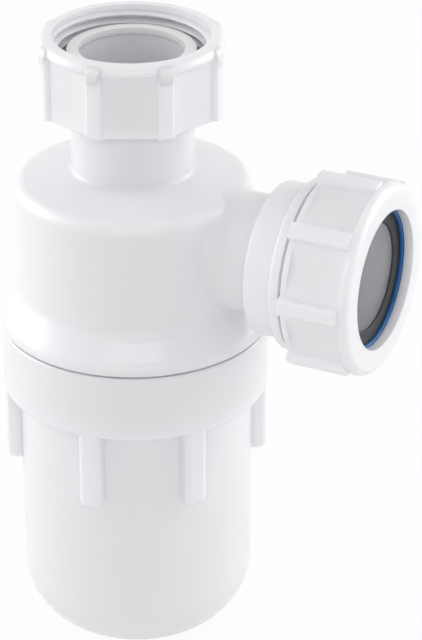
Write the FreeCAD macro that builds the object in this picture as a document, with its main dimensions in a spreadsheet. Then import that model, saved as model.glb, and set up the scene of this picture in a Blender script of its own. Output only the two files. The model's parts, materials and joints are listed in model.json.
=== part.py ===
import FreeCAD, Part
import math
import os
import re
import Sketcher
from FreeCAD import Placement, Rotation, Vector

# Bottle trap for a 1 1/4 inch basin waste, standing as it is used. The origin is the centre of the
# inlet's sealing face, +Z points up the inlet and +X points out of the outlet. Millimetres.

# Driving dimensions
SIZES = {
    # heights from the inlet's sealing face down, and the depth of water that seals the trap
    "seam_drop": 79.0,
    "water_seal": 75.0,
    # head: skirt, body, dome, neck and the spigot that the bottle screws on
    "body_radius": 32.0,
    "body_wall": 2.3,
    "dome_over_branch": 2.4,
    "dome_fall": 3.56,
    "dome_round": 3.2,
    "skirt_flare": 4.46,
    "skirt_land": 2.4,
    "skirt_rise": 8.2,
    "skirt_round": 7.0,
    "skirt_sweep": 9.0,
    "neck_wall": 1.21,
    "neck_root": 1.2,
    "spigot_length": 12.5,
    "spigot_thread_room": 1.3,
    # head: outlet branch, pipe socket, flange and threaded spout
    "branch_radius": 16.2,
    "branch_wall": 1.46,
    "branch_root": 1.5,
    "branch_sink": 0.1,
    "branch_length": 9.9,
    "socket_length": 26.3,
    "socket_radius": 20.85,
    "socket_round": 1.1,
    "socket_bore": 18.3,
    "socket_floor_wall": 2.4,
    "mouth_lead": 0.4,
    "flange_width": 3.0,
    "flange_radius": 23.2,
    "flange_round": 1.0,
    "spout_length": 15.0,
    "spout_thread_room": 1.8,
    "spout_shoulder": 1.2,
    # inlet tube, its rim and the washer on it
    "tube_bore": 14.15,
    "tube_wall": 1.15,
    "tube_rim": 1.9,
    "tube_rim_thickness": 2.0,
    "washer_thickness": 2.0,
    # inlet nut, thread G 1 1/4
    "inlet_thread_radius": 20.955,
    "inlet_thread_relief": 0.3,
    "inlet_nut_rise": 4.0,
    "inlet_nut_height": 20.2,
    "inlet_nut_wall": 2.045,
    "inlet_collar_step": 1.6,
    "inlet_collar_height": 2.6,
    "inlet_collar_round": 1.8,
    "inlet_rib_step": 2.3,
    "inlet_lip": 2.6,
    "inlet_lip_clearance": 0.3,
    "inlet_nut_turn": 3.3,
    # outlet nut, its slip ring and its seal
    "outlet_thread_radius": 22.0,
    "outlet_nut_clearance": 1.4,
    "outlet_nut_wall": 2.0,
    "outlet_rim_step": 0.6,
    "outlet_rim_height": 1.6,
    "outlet_collar_step": 2.0,
    "outlet_collar_height": 2.6,
    "outlet_collar_round": 2.5,
    "outlet_rib_step": 3.2,
    "outlet_opening": 18.78,
    "outlet_lip": 2.6,
    "slip_ring_bore": 18.1,
    "slip_ring_thickness": 0.95,
    "seal_thickness": 1.7,
    "seal_lip_bore": 14.5,
    "seal_lip": 0.7,
    "seal_lip_edge": 0.3,
    # both nuts
    "nut_ribs": 8,
    "nut_rib_width": 4.4,
    "nut_rib_draft": 0.3,
    "nut_rib_bite": 1.1,
    "nut_rib_round": 0.9,
    # bottle
    "bottle_depth": 94.0,
    "bottle_step": 4.36,
    "bottle_wall": 2.4,
    "bottle_round": 20.0,
    "collar_height": 19.4,
    "collar_wall": 2.06,
    "collar_round": 2.2,
    "bottle_rib_length": 22.1,
    "bottle_rib_width": 6.2,
    "bottle_rib_setback": 0.26,
    "bottle_rib_toe": 2.4,
    "bottle_rib_round": 1.7,
    "bottle_rib_spread": 66.0,
    "bottle_turn": 30.2,
    # ring seal between the head and the bottle
    "ring_seal_thickness": 2.2,
    "ring_seal_width": 3.2,
    # clearances and edges
    "seam_gap": 0.5,
    "turning_gap": 0.2,
    "seal_gap": 0.1,
    "ring_clearance": 0.4,
    "push_fit": 0.05,
    "small_edge": 0.4,
    "cut_over": 1.0,
}

# Named places and radii worked out from the driving dimensions and from each other
PLACES = {
    # head, from the seam up
    "seam": "0 - seam_drop",
    "spigot_end": "seam - spigot_length",
    "skirt_radius": "body_radius + skirt_flare",
    "skirt_top": "seam + skirt_land + skirt_rise",
    "outlet_height": "skirt_top - branch_sink + branch_radius",
    "dome_top": "outlet_height + branch_radius + dome_over_branch",
    "dome_edge": "dome_top - dome_fall",
    "dome_under": "dome_top - body_wall",
    "body_inner": "body_radius - body_wall",
    "spigot_radius": "collar_thread_radius - spigot_thread_room",
    "tube_radius": "tube_bore + tube_wall",
    "neck_bore": "tube_radius + push_fit",
    "neck_radius": "neck_bore + neck_wall",
    "neck_top": "inlet_nut_foot - turning_gap",
    # branch, from the axis out
    "waterway_radius": "branch_radius - branch_wall",
    "socket_back": "body_radius + branch_length",
    "socket_reach": "socket_back + socket_length",
    "socket_floor": "socket_back + socket_floor_wall",
    "flange_end": "socket_reach - spout_length",
    "flange_back": "flange_end - flange_width",
    "spout_radius": "outlet_thread_radius - spout_thread_room",
    "shoulder_end": "flange_end + spout_shoulder",
    # inlet
    "dip_end": "outlet_height - waterway_radius - water_seal",
    "rim_top": "0 - washer_thickness",
    "rim_foot": "rim_top - tube_rim_thickness",
    "rim_radius": "tube_radius + tube_rim",
    "inlet_nut_foot": "inlet_nut_rise - inlet_nut_height",
    "inlet_nut_flat": "inlet_thread_radius + inlet_nut_wall",
    "inlet_rib_radius": "inlet_nut_flat + inlet_rib_step",
    "inlet_rib_height": "inlet_nut_height - inlet_collar_height",
    "inlet_collar_radius": "inlet_nut_flat + inlet_collar_step",
    "inlet_lip_bore": "tube_radius + inlet_lip_clearance",
    "inlet_free_thread": "small_edge - inlet_nut_foot",
    # outlet
    "seal_back": "socket_reach + seal_gap",
    "seal_front": "seal_back + seal_thickness",
    "ring_back": "seal_front + seal_gap",
    "ring_front": "ring_back + slip_ring_thickness",
    "seat_radius": "outlet_thread_radius - ring_clearance",
    "outlet_nut_back": "flange_end + outlet_nut_clearance",
    "outlet_seat": "ring_front + seal_gap - outlet_nut_back",
    "outlet_nut_height": "outlet_seat + outlet_lip",
    "outlet_nut_flat": "outlet_thread_radius + outlet_nut_wall",
    "outlet_rim_radius": "outlet_nut_flat + outlet_rim_step",
    "outlet_rib_radius": "outlet_nut_flat + outlet_rib_step",
    "outlet_rib_height": "outlet_nut_height - outlet_collar_height",
    "outlet_collar_radius": "outlet_nut_flat + outlet_collar_step",
    # bottle
    "collar_top": "seam - seam_gap",
    "collar_end": "collar_top - collar_height",
    "collar_thread_radius": "skirt_radius - collar_wall",
    "bottle_base": "seam - bottle_depth",
    "bottle_floor": "bottle_base + bottle_wall",
    "bottle_radius": "skirt_radius - bottle_step",
    "bottle_inner": "bottle_radius - bottle_wall",
    "bottle_rib_end": "collar_end - bottle_rib_length",
    "bottle_rib_radius": "skirt_radius - bottle_rib_setback",
    "ring_seal_top": "spigot_end - seal_gap",
    "ring_seal_foot": "ring_seal_top - ring_seal_thickness",
    "ring_seal_outer": "collar_thread_radius - ring_clearance",
    "ledge": "ring_seal_foot - seal_gap",
}
WORD = re.compile(r"[a-z][a-z_]*")

# The body's upright axis as a sketch on each plane has it
UPRIGHT = {"XY_Plane": Vector(0, 0, 1), "XZ_Plane": Vector(0, 1, 0)}

doc = FreeCAD.newDocument("bottle_trap")
sizes = doc.addObject("Spreadsheet::Sheet", "sizes")
for row, (alias, value) in enumerate(SIZES.items(), 1):
    sizes.set("A%d" % row, alias.replace("_", " "))
    sizes.set("B%d" % row, str(value))
    sizes.setAlias("B%d" % row, alias)
doc.recompute()


def spelled(text):
    """The expression with every named place written out in driving dimensions."""
    return WORD.sub(lambda word: "(%s)" % spelled(PLACES[word[0]]) if word[0] in PLACES else word[0], text)


def bound(text):
    """The same expression as the document's other objects read it."""
    return WORD.sub(lambda word: "sizes." + word[0] if word[0] in SIZES else word[0], spelled(text))


def size(text):
    """The expression's value now."""
    return float(sizes.evalExpression(spelled(text)))


def new_body(label):
    body = doc.addObject("PartDesign::Body", label)
    body.Label = label
    return body


def origin_item(body, role):
    return next(item for item in body.Origin.OriginFeatures if item.Role == role)


def rounded(points):
    """Corners of an outline, where a corner with a third value becomes the two ends of an arc of that radius.

    Both sides of such a corner run along the sketch's axes. An arc's start also carries its centre.
    """
    corners = []
    for here, point in enumerate(points):
        if len(point) == 2:
            corners.append((point[0], point[1], None))
            continue
        across, along, radius = point
        ends = []
        centre = [across, along]
        for other in (points[here - 1], points[(here + 1) % len(points)]):
            steps = [size(other[0]) - size(across), size(other[1]) - size(along)]
            main = 0 if abs(steps[0]) > abs(steps[1]) else 1
            moved = "%s %s (%s)" % (point[main], "+" if steps[main] > 0 else "-", radius)
            ends.append((moved, along) if main == 0 else (across, moved))
            centre[main] = moved
        corners.append((ends[0][0], ends[0][1], tuple(centre)))
        corners.append((ends[1][0], ends[1][1], None))
    return corners


def outline(body, name, role, points, rise=None, turn=None):
    """A closed sketch with every corner bound to the sheet, lifted by rise and turned by turn degrees."""
    sketch = body.newObject("Sketcher::SketchObject", name)
    sketch.AttachmentSupport = (origin_item(body, role), [""])
    sketch.MapMode = "FlatFace"
    if rise:
        way = "z" if role == "XY_Plane" else "y"
        sketch.setExpression("AttachmentOffset.Base." + way, bound(rise))
    if turn:
        sketch.AttachmentOffset.Rotation = Rotation(UPRIGHT[role], 0)
        sketch.setExpression("AttachmentOffset.Rotation.Angle", bound("(%s) * 1 deg" % turn))
    corners = rounded(points)
    places = [Vector(size(across), size(along), 0) for across, along, centre in corners]
    ends = []
    for start, end, (across, along, centre) in zip(places, places[1:] + places[:1], corners):
        if centre is None:
            line = sketch.addGeometry(Part.LineSegment(start, end))
            ends.append((line, 1, 2))
            continue
        middle = Vector(size(centre[0]), size(centre[1]), 0)
        way = ((start + end) / 2 - middle).normalize()
        arc = sketch.addGeometry(Part.Arc(start, middle + way * (start - middle).Length, end))
        away = [sketch.getPoint(arc, point).distanceToPoint(start) for point in (1, 2)]
        ends.append((arc, 1, 2) if away[0] < away[1] else (arc, 2, 1))
    for here, (across, along, centre) in enumerate(corners):
        before, (line, first, last) = ends[here - 1], ends[here]
        sketch.addConstraint(Sketcher.Constraint("Coincident", before[0], before[2], line, first))
        held = [("DistanceX", first, across), ("DistanceY", first, along)]
        if centre:
            held.append(("DistanceX", 3, centre[0]))
        for kind, point, text in held:
            place = sketch.addConstraint(Sketcher.Constraint(kind, -1, 1, line, point, size(text)))
            sketch.setExpression("Constraints[%d]" % place, bound(text))
    return sketch


def turned(body, name, points, cut=False, axis="V_Axis", rise=None):
    """Turn an outline through a full circle, adding it or cutting it away. A cut has to take material."""
    sketch = outline(body, name + "_outline", "XZ_Plane", points, rise)
    before = body.Shape.Volume if cut else 0.0
    feature = body.newObject("PartDesign::Groove" if cut else "PartDesign::Revolution", name)
    feature.Profile = sketch
    feature.ReferenceAxis = (sketch, [axis])
    feature.Angle = 360
    doc.recompute()
    if cut and not feature.Shape.Volume < before - 1:
        raise ValueError(name + " cuts nothing")
    return feature


def ribs(body, name, sketch, length, count, across=False):
    """One rib, padded from its outline, or to both sides of it where that crosses the rib, and its copies."""
    pad = body.newObject("PartDesign::Pad", name)
    pad.Profile = sketch
    pad.Midplane = across
    pad.setExpression("Length", bound(length))
    doc.recompute()
    ring = body.newObject("PartDesign::PolarPattern", name + "_ring")
    ring.Originals = [pad]
    ring.Axis = (origin_item(body, "Z_Axis"), [""])
    ring.Angle = 360
    ring.setExpression("Occurrences", bound(count))
    body.Tip = ring
    doc.recompute()
    return ring


def edges_where(feature, test):
    """Names of the edges whose middle passes the test."""
    names = []
    for number, edge in enumerate(feature.Shape.Edges, 1):
        middle = edge.valueAt((edge.FirstParameter + edge.LastParameter) / 2)
        if test(edge, middle):
            names.append("Edge%d" % number)
    return names


def near(value, text, slack=0.01):
    return abs(value - size(text)) < slack


def ring_edges(feature, radius, height):
    """Edges that run round the Z axis at this radius and height."""
    return edges_where(
        feature,
        lambda edge, middle: near(math.hypot(middle.x, middle.y), radius)
        and near(middle.z, height)
        and near(edge.Vertexes[0].Z, height),
    )


def branch_edges(feature, radius, reach):
    """Edges that run round the outlet's axis at this radius and reach."""
    return edges_where(
        feature,
        lambda edge, middle: near(math.hypot(middle.y, middle.z - size("outlet_height")), radius)
        and near(middle.x, reach)
        and near(edge.Vertexes[0].X, reach),
    )


def upright_edges(feature, across, along):
    """Edges parallel to the axis at a rib's corner, given by its place across and along the rib."""
    corner = math.hypot(size(across), size(along))
    return edges_where(
        feature,
        lambda edge, middle: isinstance(edge.Curve, Part.Line)
        and abs(edge.tangentAt(edge.FirstParameter).z) > 0.99
        and abs(math.hypot(middle.x, middle.y) - corner) < 0.01,
    )


def dressed(body, name, kind, edges, amount):
    """A fillet or a chamfer on edges of the body's tip."""
    if not edges:
        raise ValueError(name + " finds no edge")
    base = body.Tip
    feature = body.newObject("PartDesign::" + kind, name)
    feature.Base = (base, edges)
    feature.setExpression("Radius" if kind == "Fillet" else "Size", bound(amount))
    body.Tip = feature
    doc.recompute()
    return feature


def make_head():
    """Neck, dome, body, skirt, threaded spigot and outlet branch, moulded as one piece."""
    body = new_body("head")
    turned(body, "shell", [
        ("0", "spigot_end"),
        ("spigot_radius", "spigot_end"),
        ("spigot_radius", "seam"),
        ("skirt_radius", "seam"),
        ("skirt_radius", "seam + skirt_land"),
        ("body_radius", "skirt_top"),
        ("body_radius", "dome_edge"),
        ("neck_radius", "dome_top"),
        ("neck_radius", "neck_top"),
        ("0", "neck_top"),
    ])
    dressed(body, "skirt_sweep_in", "Fillet", ring_edges(body.Tip, "body_radius", "skirt_top"), "skirt_sweep")
    dressed(body, "skirt_sweep_out", "Fillet", ring_edges(body.Tip, "skirt_radius", "seam + skirt_land"),
            "skirt_round")
    dressed(body, "dome_sweep", "Fillet", ring_edges(body.Tip, "body_radius", "dome_edge"), "dome_round")
    dressed(body, "neck_sweep", "Fillet", ring_edges(body.Tip, "neck_radius", "dome_top"), "neck_root")
    turned(body, "branch", [
        ("0", "0"),
        ("0", "branch_radius"),
        ("socket_back", "branch_radius"),
        ("socket_back", "socket_radius", "socket_round"),
        ("flange_back", "socket_radius"),
        ("flange_back", "flange_radius", "flange_round"),
        ("flange_end", "flange_radius"),
        ("flange_end", "seat_radius"),
        ("shoulder_end", "seat_radius"),
        ("shoulder_end", "spout_radius"),
        ("socket_reach", "spout_radius"),
        ("socket_reach", "0"),
    ], axis="H_Axis", rise="outlet_height")
    junction = edges_where(
        body.Tip,
        lambda edge, middle: near(math.hypot(middle.x, middle.y), "body_radius", 0.05)
        and near(math.hypot(middle.y, middle.z - size("outlet_height")), "branch_radius", 0.05),
    )
    dressed(body, "branch_sweep", "Fillet", junction, "branch_root")
    turned(body, "cavity", [
        ("0", "spigot_end - cut_over"),
        ("body_inner", "spigot_end - cut_over"),
        ("body_inner", "dome_under - dome_fall"),
        ("neck_bore", "dome_under"),
        ("neck_bore", "neck_top + cut_over"),
        ("0", "neck_top + cut_over"),
    ], cut=True)
    turned(body, "waterway", [
        ("0", "0"),
        ("0", "waterway_radius"),
        ("socket_floor", "waterway_radius"),
        ("socket_floor", "socket_bore"),
        ("socket_reach - mouth_lead", "socket_bore"),
        ("socket_reach", "socket_bore + mouth_lead"),
        ("socket_reach + cut_over", "socket_bore + mouth_lead"),
        ("socket_reach + cut_over", "0"),
    ], cut=True, axis="H_Axis", rise="outlet_height")
    dressed(body, "seam_edge", "Chamfer", ring_edges(body.Tip, "skirt_radius", "seam"), "small_edge")
    return body


def make_inlet_tube():
    """Rimmed tube pushed down through the neck, which dips below the outlet and holds the water seal."""
    body = new_body("inlet_tube")
    turned(body, "tube", [
        ("tube_bore", "dip_end"),
        ("tube_radius", "dip_end"),
        ("tube_radius", "rim_foot"),
        ("rim_radius", "rim_foot"),
        ("rim_radius", "rim_top"),
        ("tube_bore", "rim_top"),
    ])
    dressed(body, "foot_edge", "Chamfer", ring_edges(body.Tip, "tube_radius", "dip_end"), "small_edge")
    dressed(body, "rim_edge", "Fillet", ring_edges(body.Tip, "rim_radius", "rim_foot"), "small_edge")
    return body


def make_inlet_washer():
    """Flat washer on the tube's rim, which the basin waste's end is drawn down on."""
    body = new_body("inlet_washer")
    turned(body, "ring", [
        ("tube_bore", "rim_top"),
        ("rim_radius", "rim_top"),
        ("rim_radius", "0"),
        ("tube_bore", "0"),
    ])
    dressed(body, "outer_edge", "Fillet", ring_edges(body.Tip, "rim_radius", "0"), "small_edge")
    return body


def make_nut(end, rim="0"):
    """Ribbed nut of one end along its own Z axis, with flats from the height rim up and a plain collar."""
    body = new_body(end + "_nut")
    flat, height = end + "_nut_flat", end + "_nut_height"
    rib, rib_height, collar = end + "_rib_radius", end + "_rib_height", end + "_collar_radius"
    prism = body.newObject("PartDesign::AdditivePrism", "flats")
    prism.AttachmentSupport = (origin_item(body, "XY_Plane"), [""])
    prism.MapMode = "FlatFace"
    prism.setExpression("Polygon", bound("nut_ribs"))
    prism.setExpression("Circumradius", bound("%s / cos(180 deg / nut_ribs)" % flat))
    prism.setExpression("Height", bound("%s - %s" % (rib_height, rim)))
    prism.setExpression("AttachmentOffset.Base.z", bound(rim))
    doc.recompute()
    plan = outline(body, "grip_outline", "XY_Plane", [
        ("%s - nut_rib_bite" % flat, "0 - nut_rib_width / 2 - nut_rib_draft"),
        (rib, "0 - nut_rib_width / 2"),
        (rib, "nut_rib_width / 2"),
        ("%s - nut_rib_bite" % flat, "nut_rib_width / 2 + nut_rib_draft"),
    ])
    ribs(body, "grip", plan, rib_height, "nut_ribs")
    dressed(body, "grip_round", "Fillet", upright_edges(body.Tip, rib, "nut_rib_width / 2"), "nut_rib_round")
    turned(body, "collar", [
        ("0", rib_height),
        (collar, rib_height),
        (collar, height),
        ("0", height),
    ])
    return body


def make_inlet_nut():
    """Nut that sits on the neck under the tube's rim and draws the washer up to the waste."""
    body = make_nut("inlet")
    dressed(body, "collar_round", "Fillet",
            ring_edges(body.Tip, "inlet_collar_radius", "inlet_nut_height"), "inlet_collar_round")
    turned(body, "thread_bore", [
        ("0", "0 - cut_over"),
        ("inlet_lip_bore", "0 - cut_over"),
        ("inlet_lip_bore", "inlet_lip"),
        ("inlet_thread_radius + inlet_thread_relief", "inlet_lip"),
        ("inlet_thread_radius + inlet_thread_relief", "inlet_free_thread"),
        ("inlet_thread_radius", "inlet_free_thread"),
        ("inlet_thread_radius", "inlet_nut_height + cut_over"),
        ("0", "inlet_nut_height + cut_over"),
    ], cut=True)
    body.Placement.Rotation = Rotation(Vector(0, 0, 1), 0)
    body.setExpression("Placement.Base.z", bound("inlet_nut_foot"))
    body.setExpression("Placement.Rotation.Angle", bound("inlet_nut_turn * 1 deg"))
    return body


def make_outlet_nut():
    """Compression nut on the branch, whose front lip presses the slip ring and the seal on the socket."""
    body = make_nut("outlet", "outlet_rim_height")
    turned(body, "rim", [
        ("0", "0"),
        ("outlet_rim_radius", "0"),
        ("outlet_rim_radius", "outlet_rim_height"),
        ("0", "outlet_rim_height"),
    ])
    dressed(body, "collar_round", "Fillet",
            ring_edges(body.Tip, "outlet_collar_radius", "outlet_nut_height"), "outlet_collar_round")
    turned(body, "thread_bore", [
        ("0", "0 - cut_over"),
        ("outlet_thread_radius", "0 - cut_over"),
        ("outlet_thread_radius", "outlet_seat"),
        ("outlet_opening", "outlet_seat"),
        ("outlet_opening", "outlet_nut_height + cut_over"),
        ("0", "outlet_nut_height + cut_over"),
    ], cut=True)
    body.Placement.Rotation = Rotation(Vector(0, 1, 0), 90)
    body.setExpression("Placement.Base.x", bound("outlet_nut_back"))
    body.setExpression("Placement.Base.z", bound("outlet_height"))
    return body


def make_slip_ring():
    """Thin hard ring between the turning nut and the seal."""
    body = new_body("outlet_slip_ring")
    turned(body, "ring", [
        ("ring_back", "slip_ring_bore"),
        ("ring_back", "seat_radius"),
        ("ring_front", "seat_radius"),
        ("ring_front", "slip_ring_bore"),
    ], axis="H_Axis", rise="outlet_height")
    dressed(body, "bore_edge", "Fillet", branch_edges(body.Tip, "slip_ring_bore", "ring_front"), "small_edge")
    return body


def make_outlet_seal():
    """Rubber seal on the spout's end, tapering to a thin lip that stretches over the pipe."""
    body = new_body("outlet_seal")
    turned(body, "seal", [
        ("seal_back", "socket_bore"),
        ("seal_back", "seat_radius"),
        ("seal_front", "seat_radius"),
        ("seal_front", "seal_lip_bore + seal_lip_edge"),
        ("seal_front - seal_lip_edge", "seal_lip_bore"),
        ("seal_front - seal_lip", "seal_lip_bore"),
    ], axis="H_Axis", rise="outlet_height")
    return body


def make_bottle():
    """Cup with a threaded collar, grip ribs below it and a round foot."""
    body = new_body("bottle")
    turned(body, "cup", [
        ("0", "bottle_base"),
        ("bottle_radius", "bottle_base", "bottle_round"),
        ("bottle_radius", "collar_end"),
        ("skirt_radius", "collar_end", "collar_round"),
        ("skirt_radius", "collar_top"),
        ("0", "collar_top"),
    ])
    spread = {"grip": "0", "grip_ahead": "bottle_rib_spread", "grip_behind": "0 - bottle_rib_spread"}
    for name, turn in spread.items():
        side = outline(body, name + "_outline", "XZ_Plane", [
            ("bottle_radius - bottle_wall / 2", "bottle_rib_end"),
            ("bottle_rib_radius", "bottle_rib_end", "bottle_rib_toe"),
            ("bottle_rib_radius", "collar_end + collar_round"),
            ("bottle_radius - bottle_wall / 2", "collar_end + collar_round"),
        ], turn=turn)
        ribs(body, name, side, "bottle_rib_width", "2", across=True)
    dressed(body, "grip_round", "Fillet",
            upright_edges(body.Tip, "bottle_rib_radius", "bottle_rib_width / 2"), "bottle_rib_round")
    turned(body, "inside", [
        ("0", "bottle_floor"),
        ("bottle_inner", "bottle_floor", "bottle_round - bottle_wall"),
        ("bottle_inner", "ledge"),
        ("collar_thread_radius", "ledge"),
        ("collar_thread_radius", "collar_top + cut_over"),
        ("0", "collar_top + cut_over"),
    ], cut=True)
    dressed(body, "seam_edge", "Chamfer", ring_edges(body.Tip, "skirt_radius", "collar_top"), "small_edge")
    body.Placement.Rotation = Rotation(Vector(0, 0, 1), 0)
    body.setExpression("Placement.Rotation.Angle", bound("bottle_turn * 1 deg"))
    return body


def make_bottle_seal():
    """Flat rubber ring on the bottle's ledge, which the head's spigot is screwed down on."""
    body = new_body("bottle_seal")
    turned(body, "ring", [
        ("ring_seal_outer - ring_seal_width", "ring_seal_foot"),
        ("ring_seal_outer", "ring_seal_foot"),
        ("ring_seal_outer", "ring_seal_top"),
        ("ring_seal_outer - ring_seal_width", "ring_seal_top"),
    ])
    dressed(body, "outer_edge", "Fillet", ring_edges(body.Tip, "ring_seal_outer", "ring_seal_top"),
            "small_edge")
    return body


def check(bodies):
    """Stop before anything is written if an object failed or a piece isn't one valid solid."""
    doc.recompute()
    for item in doc.Objects:
        if {"Invalid", "Error"} & set(item.State):
            raise ValueError(item.Name + " failed")
    for body in bodies:
        shape = body.Shape
        if shape.isNull() or not shape.isValid() or len(shape.Solids) != 1:
            raise ValueError(body.Label + " isn't one valid solid")


bodies = [
    make_head(),
    make_inlet_tube(),
    make_inlet_washer(),
    make_inlet_nut(),
    make_bottle(),
    make_bottle_seal(),
    make_outlet_nut(),
    make_slip_ring(),
    make_outlet_seal(),
]
check(bodies)
os.makedirs("parts", exist_ok=True)
for body in bodies:
    body.Shape.exportStep("parts/%s.step" % body.Label)
    box = body.Shape.BoundBox
    print("%-17s %9.1f mm3  z %7.2f to %7.2f" % (body.Label, body.Shape.Volume, box.ZMin, box.ZMax))
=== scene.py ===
"""Bottle trap: its threads, rib tops, materials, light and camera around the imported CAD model.

Everything is in metres, in the CAD model's own frame: the origin is the centre of the inlet's sealing face,
+Z points up the inlet and +X out of the outlet.
"""

import json
import math

import bmesh
import bpy
from mathutils import Matrix, Vector


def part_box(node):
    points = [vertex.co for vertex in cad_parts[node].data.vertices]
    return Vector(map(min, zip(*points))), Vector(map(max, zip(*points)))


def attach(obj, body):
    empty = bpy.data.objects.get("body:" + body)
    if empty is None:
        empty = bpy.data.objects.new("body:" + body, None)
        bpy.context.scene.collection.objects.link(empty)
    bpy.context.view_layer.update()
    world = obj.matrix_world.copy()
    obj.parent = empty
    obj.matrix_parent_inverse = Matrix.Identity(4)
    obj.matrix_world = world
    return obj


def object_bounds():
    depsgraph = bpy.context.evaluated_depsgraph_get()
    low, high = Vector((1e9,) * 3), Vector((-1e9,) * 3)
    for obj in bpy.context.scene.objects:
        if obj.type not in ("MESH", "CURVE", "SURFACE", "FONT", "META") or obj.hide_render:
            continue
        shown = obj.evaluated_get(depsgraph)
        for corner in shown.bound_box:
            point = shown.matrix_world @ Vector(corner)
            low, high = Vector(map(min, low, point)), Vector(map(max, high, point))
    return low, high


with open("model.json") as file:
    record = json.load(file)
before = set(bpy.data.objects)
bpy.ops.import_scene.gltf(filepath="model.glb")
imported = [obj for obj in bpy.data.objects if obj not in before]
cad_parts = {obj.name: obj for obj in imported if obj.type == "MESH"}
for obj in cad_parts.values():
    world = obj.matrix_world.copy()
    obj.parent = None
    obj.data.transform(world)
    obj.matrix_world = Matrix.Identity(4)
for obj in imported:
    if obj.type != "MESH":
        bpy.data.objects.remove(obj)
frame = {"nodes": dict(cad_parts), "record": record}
cad_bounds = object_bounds()

MM = 0.001
QUARTER_TURN = math.pi / 2

# Threads. Each pair leaves a radial clearance between one piece's crests and the other's roots, and the plain
# walls of the CAD model are the roots. The widths are shares of the pitch, the flanks shares of half a ridge.
INLET_PITCH = 2.309 * MM
INLET_DEPTH = 1.479 * MM
INLET_ROOT = 20.955 * MM
INLET_WIDTH = 0.98
INLET_FLANK = 0.9
INLET_TOP_MARGIN = 0.3 * MM
INLET_THREAD_FOOT = 3.4 * MM
INLET_THREAD_TURN = math.radians(-140)
OUTLET_PITCH = 3.0 * MM
OUTLET_ROOT = 22.0 * MM
SPOUT_ROOT = 20.2 * MM
SPOUT_LENGTH = 15.0 * MM
SPOUT_SHOULDER = 1.2 * MM
SOCKET_REACH = 68.2 * MM
BOTTLE_PITCH = 4.0 * MM
COLLAR_ROOT = 34.4 * MM
SPIGOT_ROOT = 33.1 * MM
PAIR_WIDTH = 0.46
PAIR_FLANK = 0.5
CREST_CLEARANCE = 0.3 * MM
END_CLEARANCE = 0.5 * MM
ROOT_SINK = 0.5 * MM
SLOPE_STEPS = 4
STEPS_PER_TURN = 96
RUN_OUT_TURNS = 0.35
RUN_OUT_LEAST = 0.02

# The tops of the inlet nut's ribs
RIB_COUNT = 8
RIB_TURN = math.radians(3.3)
RIB_REACH = 25.3 * MM
RIB_HALF_WIDTH = 2.2 * MM
RIB_HALF_ROOT = 2.54 * MM
RIB_EDGE = 0.9 * MM
RIB_TOP_ROUND = 1.4 * MM
RIB_TOP_DROP = 0.5 * MM
RIB_TOP_TAPER = 3
RIB_TOP_ROOT = 21.4 * MM
RIB_OVERLAP = 5.0 * MM
RIB_SKIN = 0.03 * MM
COLLAR_HEIGHT = 2.6 * MM
EDGE_STEPS = 6

# Materials
DRIFT_SCALE = 45.0
FLOW_SCALE = 160.0
FLOW_RANGE = (0.3, 0.7)
GRAIN_STRENGTH = 0.35
EDGE_SAMPLES = 6
SPREAD_IN_PLASTIC = 4.0 * MM
POLISH_ROUGHNESS = 0.17

# A colour mix node has its colour sockets behind those for numbers and vectors
MIX_FIRST_COLOUR = 6
MIX_SECOND_COLOUR = 7
MIX_RESULT_COLOUR = 2

# Floor, surround and light
FLOOR_HALF = 2.0
FLOOR_COLOUR = (0.85, 0.85, 0.85, 1.0)
FLOOR_WHITE_SHARE = 0.94
AMBIENT = 0.47
WHITE = (1.0, 1.0, 1.0, 1.0)

# The softboxes: name, azimuth from the camera's and elevation in degrees, distance, width, height, watts
SOFTBOXES = (
    ("left_softbox", -104, 15, 0.9, 0.75, 0.9, 5.6),
    ("right_softbox", 104, 15, 0.9, 0.75, 0.9, 5.0),
    ("top_softbox", 0, 85, 0.9, 0.7, 0.7, 0.9),
    ("front_softbox", 0, 33, 1.3, 1.0, 0.18, 2.3),
    ("low_softbox", 0, 3, 1.3, 0.9, 0.3, 1.4),
)

# The photograph's viewpoint. The lens and the sensor are in millimetres.
CAMERA_AZIMUTH = math.radians(25.826)
CAMERA_ELEVATION = math.radians(27.18)
CAMERA_DISTANCE = 0.815254
CAMERA_AIM_HEIGHT = -0.080442
CAMERA_AIM_SIDE = 0.020804
CAMERA_LENS = 166.9
SENSOR_SIZE = 36.0


# Materials

def nodes_of(owner):
    """The emptied node tree of a material or world, and a function that adds a node with its inputs set."""
    owner.use_nodes = True
    tree = owner.node_tree
    tree.nodes.clear()

    def add(kind, **inputs):
        node = tree.nodes.new(kind)
        for name, value in inputs.items():
            node.inputs[name.replace("_", " ")].default_value = value
        return node

    return tree, add


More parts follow.
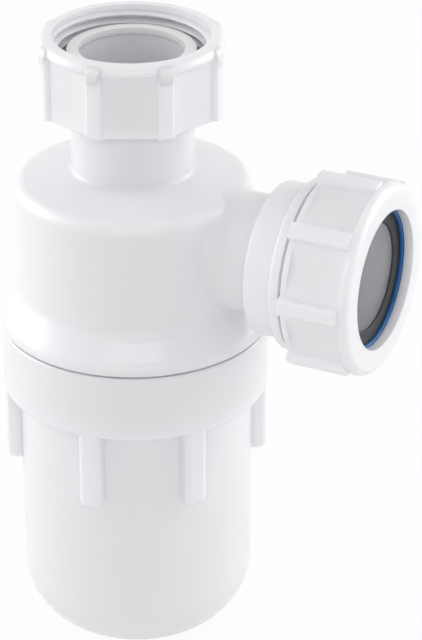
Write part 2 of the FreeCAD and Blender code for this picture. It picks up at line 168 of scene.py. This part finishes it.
def moulded(name, colour, shade, roughness, grain, grain_depth, edge, specular=0.5, glow=0.0, polish=0.0):
    """A moulded surface: colour drifting to shade, uneven gloss, a fine skin and slightly softened edges.

    glow is the share of light that spreads inside the plastic before it comes out, and polish the weight of
    its smoother skin.
    """
    material = bpy.data.materials.new(name)
    tree, add = nodes_of(material)
    link = tree.links.new
    place = add("ShaderNodeTexCoord").outputs["Object"]
    drift = add("ShaderNodeTexNoise", Scale=DRIFT_SCALE, Detail=3.0, Roughness=0.55)
    flow = add("ShaderNodeTexNoise", Scale=FLOW_SCALE, Detail=4.0, Roughness=0.6)
    skin = add("ShaderNodeTexNoise", Scale=grain, Detail=3.0, Roughness=0.5)
    for noise in (drift, flow, skin):
        link(place, noise.inputs["Vector"])

    blend = tree.nodes.new("ShaderNodeMix")
    blend.data_type = "RGBA"
    blend.inputs[MIX_FIRST_COLOUR].default_value = (*colour, 1.0)
    blend.inputs[MIX_SECOND_COLOUR].default_value = (*shade, 1.0)
    link(drift.outputs["Fac"], blend.inputs["Factor"])

    gloss = add(
        "ShaderNodeMapRange", From_Min=FLOW_RANGE[0], From_Max=FLOW_RANGE[1],
        To_Min=roughness[0], To_Max=roughness[1],
    )
    link(flow.outputs["Fac"], gloss.inputs["Value"])

    soft = tree.nodes.new("ShaderNodeBevel")
    soft.samples = EDGE_SAMPLES
    soft.inputs["Radius"].default_value = edge
    bump = add("ShaderNodeBump", Strength=GRAIN_STRENGTH, Distance=grain_depth)
    link(skin.outputs["Fac"], bump.inputs["Height"])
    link(soft.outputs["Normal"], bump.inputs["Normal"])

    surface = add(
        "ShaderNodeBsdfPrincipled", Specular_IOR_Level=specular, Subsurface_Weight=glow,
        Subsurface_Radius=(1.0, 1.0, 1.0), Subsurface_Scale=SPREAD_IN_PLASTIC,
        Coat_Weight=polish, Coat_Roughness=POLISH_ROUGHNESS,
    )
    link(blend.outputs[MIX_RESULT_COLOUR], surface.inputs["Base Color"])
    link(gloss.outputs["Result"], surface.inputs["Roughness"])
    link(bump.outputs["Normal"], surface.inputs["Normal"])
    link(surface.outputs["BSDF"], add("ShaderNodeOutputMaterial").inputs["Surface"])
    return material


MATERIALS = {
    "white_plastic": moulded(
        "white_plastic", colour=(0.87, 0.872, 0.895), shade=(0.85, 0.855, 0.885), roughness=(0.34, 0.42),
        grain=420.0, grain_depth=0.02 * MM, edge=0.25 * MM, specular=0.4, glow=0.45, polish=0.5,
    ),
    "washer_plastic": moulded(
        "washer_plastic", colour=(0.88, 0.88, 0.885), shade=(0.86, 0.865, 0.875), roughness=(0.42, 0.55),
        grain=700.0, grain_depth=0.03 * MM, edge=0.25 * MM, specular=0.4, glow=0.45,
    ),
    "blue_plastic": moulded(
        "blue_plastic", colour=(0.003, 0.115, 0.34), shade=(0.002, 0.095, 0.29), roughness=(0.30, 0.42),
        grain=600.0, grain_depth=0.02 * MM, edge=0.2 * MM,
    ),
    "black_rubber": moulded(
        "black_rubber", colour=(0.042, 0.044, 0.048), shade=(0.030, 0.032, 0.035), roughness=(0.48, 0.66),
        grain=900.0, grain_depth=0.04 * MM, edge=0.2 * MM, specular=0.4,
    ),
}

for part in frame["record"]["subparts"]:
    node = frame["nodes"][part["node"]]
    node.data.materials.clear()
    node.data.materials.append(MATERIALS[part["material_slot"]])


# Shapes

def join_rings(mesh, rings):
    """A closed skin over the rings. The strips from each ring's last corner to its first are shaded flat."""
    for here, there in zip(rings, rings[1:]):
        for corner in range(len(here)):
            after = (corner + 1) % len(here)
            face = mesh.faces.new((here[corner], here[after], there[after], there[corner]))
            face.smooth = after != 0
    mesh.faces.new(rings[0])
    mesh.faces.new(list(reversed(rings[-1])))


def object_from(name, mesh, tilt=None):
    """A new object from a finished bmesh, moved by tilt if that is given."""
    data = bpy.data.meshes.new(name)
    mesh.to_mesh(data)
    mesh.free()
    if tilt is not None:
        data.transform(tilt)
    thing = bpy.data.objects.new(name, data)
    bpy.context.scene.collection.objects.link(thing)
    return thing


def white_piece(name, mesh, body, tilt=None):
    """A piece of white plastic that rides on a body of the part."""
    piece = object_from(name, mesh, tilt)
    piece.data.materials.append(MATERIALS["white_plastic"])
    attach(piece, body)


def ridge_section(width, height, flank):
    """A thread ridge's section as (along the axis, height) pairs, from its foot over its crest to its foot.

    flank is the share of each half that slopes. The slope is S-shaped, so foot and crest are rounded.
    """
    slope = [step / SLOPE_STEPS for step in range(SLOPE_STEPS + 1)]
    left = [(flank * share - 1, share * share * (3 - 2 * share)) for share in slope]
    right = [(-along, rise) for along, rise in reversed(left)]
    return [(along * width / 2, rise * height) for along, rise in left + right]


def thread(name, body, root, depth, pitch, start, end, width, flank, inward, turn=0.0, tilt=None):
    """A right-handed helical ridge on a plain wall of radius root, from start to end along its axis.

    It grows out of the wall by depth, away from the axis or inward, towards it. The ridge's height dies away
    at both ends, and its foot is sunk in the wall. tilt moves it from the Z axis to where it belongs.
    """
    section = ridge_section(width, depth, flank)
    side = -1 if inward else 1
    first, last = start + width / 2, end - width / 2
    turns = (last - first) / pitch
    steps = math.ceil(turns * STEPS_PER_TURN)
    mesh = bmesh.new()
    rings = []
    for step in range(steps + 1):
        done = turns * step / steps
        angle = math.tau * done + turn
        full = max(RUN_OUT_LEAST, min(1.0, done / RUN_OUT_TURNS, (turns - done) / RUN_OUT_TURNS))
        height = first + pitch * done
        ring = []
        for along, rise in section:
            radius = root + side * (rise * full - ROOT_SINK * (1 - rise * full / depth))
            ring.append(mesh.verts.new((radius * math.cos(angle), radius * math.sin(angle), height + along)))
        rings.append(ring)
    join_rings(mesh, rings)
    bmesh.ops.recalc_face_normals(mesh, faces=mesh.faces)
    white_piece(name, mesh, body, tilt)


def quarter_round():
    """Angles from nothing to a quarter turn, for a rounded edge."""
    return [QUARTER_TURN * step / EDGE_STEPS for step in range(EDGE_STEPS + 1)]


def rib_plan(reach, half, root_half):
    """Half of a rib top's outline seen from above, as (out, across) pairs from its root to its outer face."""
    return [(RIB_TOP_ROOT, root_half)] + [
        (reach - RIB_EDGE * (1 - math.sin(bend)), half - RIB_EDGE * (1 - math.cos(bend)))
        for bend in quarter_round()
    ]


def rib_tops(name, body, foot, top):
    """A rounded top on each rib, which rises out of the rib's faces below the collar's underside at foot."""
    levels = [(foot - RIB_OVERLAP, -RIB_SKIN, 0.0), (foot, RIB_SKIN, 0.0)]
    for bend in quarter_round():
        height = top - RIB_TOP_DROP - RIB_TOP_ROUND * (1 - math.sin(bend))
        levels.append((height, RIB_SKIN, RIB_TOP_ROUND * (1 - math.cos(bend))))
    mesh = bmesh.new()
    for rib in range(RIB_COUNT):
        way = RIB_TURN + math.tau * rib / RIB_COUNT
        outward = Vector((math.cos(way), math.sin(way), 0))
        sideways = Vector((-outward.y, outward.x, 0))
        rings = []
        for height, skin, shrink in levels:
            narrowing = skin - shrink / RIB_TOP_TAPER
            reach = RIB_REACH + skin - shrink
            half = rib_plan(reach, RIB_HALF_WIDTH + narrowing, RIB_HALF_ROOT + narrowing)
            plan = half + [(out, -across) for out, across in reversed(half)]
            rings.append([
                mesh.verts.new(outward * out + sideways * across + Vector((0, 0, height)))
                for out, across in plan
            ])
        join_rings(mesh, rings)
    bmesh.ops.recalc_face_normals(mesh, faces=mesh.faces)
    for edge in mesh.edges:
        edge.smooth = all(face.smooth for face in edge.link_faces)
    white_piece(name, mesh, body)


inlet_low, inlet_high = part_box("inlet_nut")
outlet_low, outlet_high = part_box("outlet_nut")
_, bottle_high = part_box("bottle")
head_low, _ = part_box("head")
_, seal_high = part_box("bottle_seal")

# The inlet nut's G 1 1/4 thread, on its plain wall
thread(
    "inlet_nut_thread", "inlet_nut", root=INLET_ROOT, depth=INLET_DEPTH, pitch=INLET_PITCH,
    start=inlet_low.z + INLET_THREAD_FOOT, end=inlet_high.z - INLET_TOP_MARGIN,
    width=INLET_WIDTH * INLET_PITCH, flank=INLET_FLANK, inward=True, turn=INLET_THREAD_TURN,
)

# The outlet's threads: the spout's ridges reach almost to the nut's root, and the nut's almost to the spout's
outlet_height = (outlet_low.z + outlet_high.z) / 2
outlet_axis = Matrix.Translation((0, 0, outlet_height)) @ Matrix.Rotation(QUARTER_TURN, 4, "Y")
outlet_depth = OUTLET_ROOT - SPOUT_ROOT - CREST_CLEARANCE
spout_start = SOCKET_REACH - SPOUT_LENGTH + SPOUT_SHOULDER + END_CLEARANCE
thread(
    "spout_thread", "trap_head", root=SPOUT_ROOT, depth=outlet_depth, pitch=OUTLET_PITCH,
    start=spout_start, end=SOCKET_REACH - END_CLEARANCE,
    width=PAIR_WIDTH * OUTLET_PITCH, flank=PAIR_FLANK, inward=False, tilt=outlet_axis,
)
nut_start = outlet_low.x + END_CLEARANCE
nut_phase = math.tau * (nut_start - spout_start) / OUTLET_PITCH + math.pi
thread(
    "outlet_nut_thread", "outlet_nut", root=OUTLET_ROOT, depth=outlet_depth, pitch=OUTLET_PITCH,
    start=nut_start, end=SOCKET_REACH - END_CLEARANCE,
    width=PAIR_WIDTH * OUTLET_PITCH, flank=PAIR_FLANK, inward=True, turn=nut_phase, tilt=outlet_axis,
)

# The bottle's threads: the spigot's ridges and, between them, the collar's
bottle_depth = COLLAR_ROOT - SPIGOT_ROOT - CREST_CLEARANCE
spigot_start = head_low.z + END_CLEARANCE
thread(
    "spigot_thread", "trap_head", root=SPIGOT_ROOT, depth=bottle_depth, pitch=BOTTLE_PITCH,
    start=spigot_start, end=bottle_high.z - END_CLEARANCE,
    width=PAIR_WIDTH * BOTTLE_PITCH, flank=PAIR_FLANK, inward=False,
)
collar_start = seal_high.z + END_CLEARANCE
collar_phase = math.tau * (collar_start - spigot_start) / BOTTLE_PITCH + math.pi
thread(
    "bottle_thread", "bottle", root=COLLAR_ROOT, depth=bottle_depth, pitch=BOTTLE_PITCH,
    start=collar_start, end=bottle_high.z - 2 * END_CLEARANCE,
    width=PAIR_WIDTH * BOTTLE_PITCH, flank=PAIR_FLANK, inward=True, turn=collar_phase,
)

# The inlet nut's ribs run on over its collar and end in rounded tops
rib_tops("inlet_nut_rib_tops", "inlet_nut", inlet_high.z - COLLAR_HEIGHT, inlet_high.z)


# Floor, light and camera

def white_to_the_eye(add, link, lit, share):
    """lit, mixed with plain white in that share where the camera, a reflection or a refraction sees it."""
    path = add("ShaderNodeLightPath")
    seen = path.outputs["Is Camera Ray"]
    for other in ("Is Glossy Ray", "Is Transmission Ray"):
        either = add("ShaderNodeMath")
        either.operation = "MAXIMUM"
        link(seen, either.inputs[0])
        link(path.outputs[other], either.inputs[1])
        seen = either.outputs[0]
    amount = add("ShaderNodeMath")
    amount.operation = "MULTIPLY"
    amount.inputs[1].default_value = share
    link(seen, amount.inputs[0])
    mixed = add("ShaderNodeMixShader")
    link(amount.outputs[0], mixed.inputs["Fac"])
    link(lit, mixed.inputs[1])
    link(add("ShaderNodeEmission", Strength=1.0).outputs["Emission"], mixed.inputs[2])
    return mixed.outputs["Shader"]


def make_floor(height):
    """A plain pale floor that keeps the object's shadow."""
    mesh = bmesh.new()
    bmesh.ops.create_grid(mesh, x_segments=1, y_segments=1, size=FLOOR_HALF)
    floor = object_from("floor", mesh)
    floor.location.z = height
    material = bpy.data.materials.new("floor_white")
    tree, add = nodes_of(material)
    lit = add("ShaderNodeBsdfDiffuse", Color=FLOOR_COLOUR)
    seen = white_to_the_eye(add, tree.links.new, lit.outputs["BSDF"], FLOOR_WHITE_SHARE)
    tree.links.new(seen, add("ShaderNodeOutputMaterial").inputs["Surface"])
    floor.data.materials.append(material)


def make_world():
    """A white surround to the eye, and a dimmer even light for the object."""
    world = bpy.data.worlds.new("surround")
    bpy.context.scene.world = world
    tree, add = nodes_of(world)
    lit = add("ShaderNodeBackground", Color=WHITE, Strength=AMBIENT)
    seen = white_to_the_eye(add, tree.links.new, lit.outputs["Background"], 1.0)
    tree.links.new(seen, add("ShaderNodeOutputWorld").inputs["Surface"])


def around(middle, azimuth, elevation, distance):
    """The point at that distance from middle, and the direction to it. Azimuth 0 is on the -Y side."""
    out = Vector((
        math.sin(azimuth) * math.cos(elevation),
        -math.cos(azimuth) * math.cos(elevation),
        math.sin(elevation),
    ))
    return middle + out * distance, out


def softbox(middle, name, azimuth, elevation, distance, width, height, power):
    """A rectangular lamp that faces middle."""
    place, out = around(middle, CAMERA_AZIMUTH + math.radians(azimuth), math.radians(elevation), distance)
    lamp = bpy.data.lights.new(name, "AREA")
    lamp.shape = "RECTANGLE"
    lamp.size, lamp.size_y = width, height
    lamp.energy = power
    holder = bpy.data.objects.new(name, lamp)
    holder.location = place
    holder.rotation_mode = "QUATERNION"
    holder.rotation_quaternion = out.to_track_quat("Z", "Y")
    bpy.context.scene.collection.objects.link(holder)


def make_light(middle):
    """The softboxes: two tall ones beside the object, a weak one above, a high and a low one in front."""
    for settings in SOFTBOXES:
        softbox(middle, *settings)


def make_camera():
    """The camera at the photograph's viewpoint."""
    sideways = Vector((math.cos(CAMERA_AZIMUTH), math.sin(CAMERA_AZIMUTH), 0))
    aim = Vector((0, 0, CAMERA_AIM_HEIGHT)) + sideways * CAMERA_AIM_SIDE
    place, out = around(aim, CAMERA_AZIMUTH, CAMERA_ELEVATION, CAMERA_DISTANCE)
    lens = bpy.data.cameras.new("camera")
    lens.lens = CAMERA_LENS
    lens.sensor_width = SENSOR_SIZE
    camera = bpy.data.objects.new("camera", lens)
    camera.rotation_mode = "QUATERNION"
    camera.location = place
    camera.rotation_quaternion = Matrix((sideways, out.cross(sideways), out)).transposed().to_quaternion()
    bpy.context.scene.collection.objects.link(camera)
    bpy.context.scene.camera = camera


make_floor(cad_bounds[0].z)
make_world()
make_light((cad_bounds[0] + cad_bounds[1]) / 2)
make_camera()
bpy.context.scene.view_settings.view_transform = "Standard"
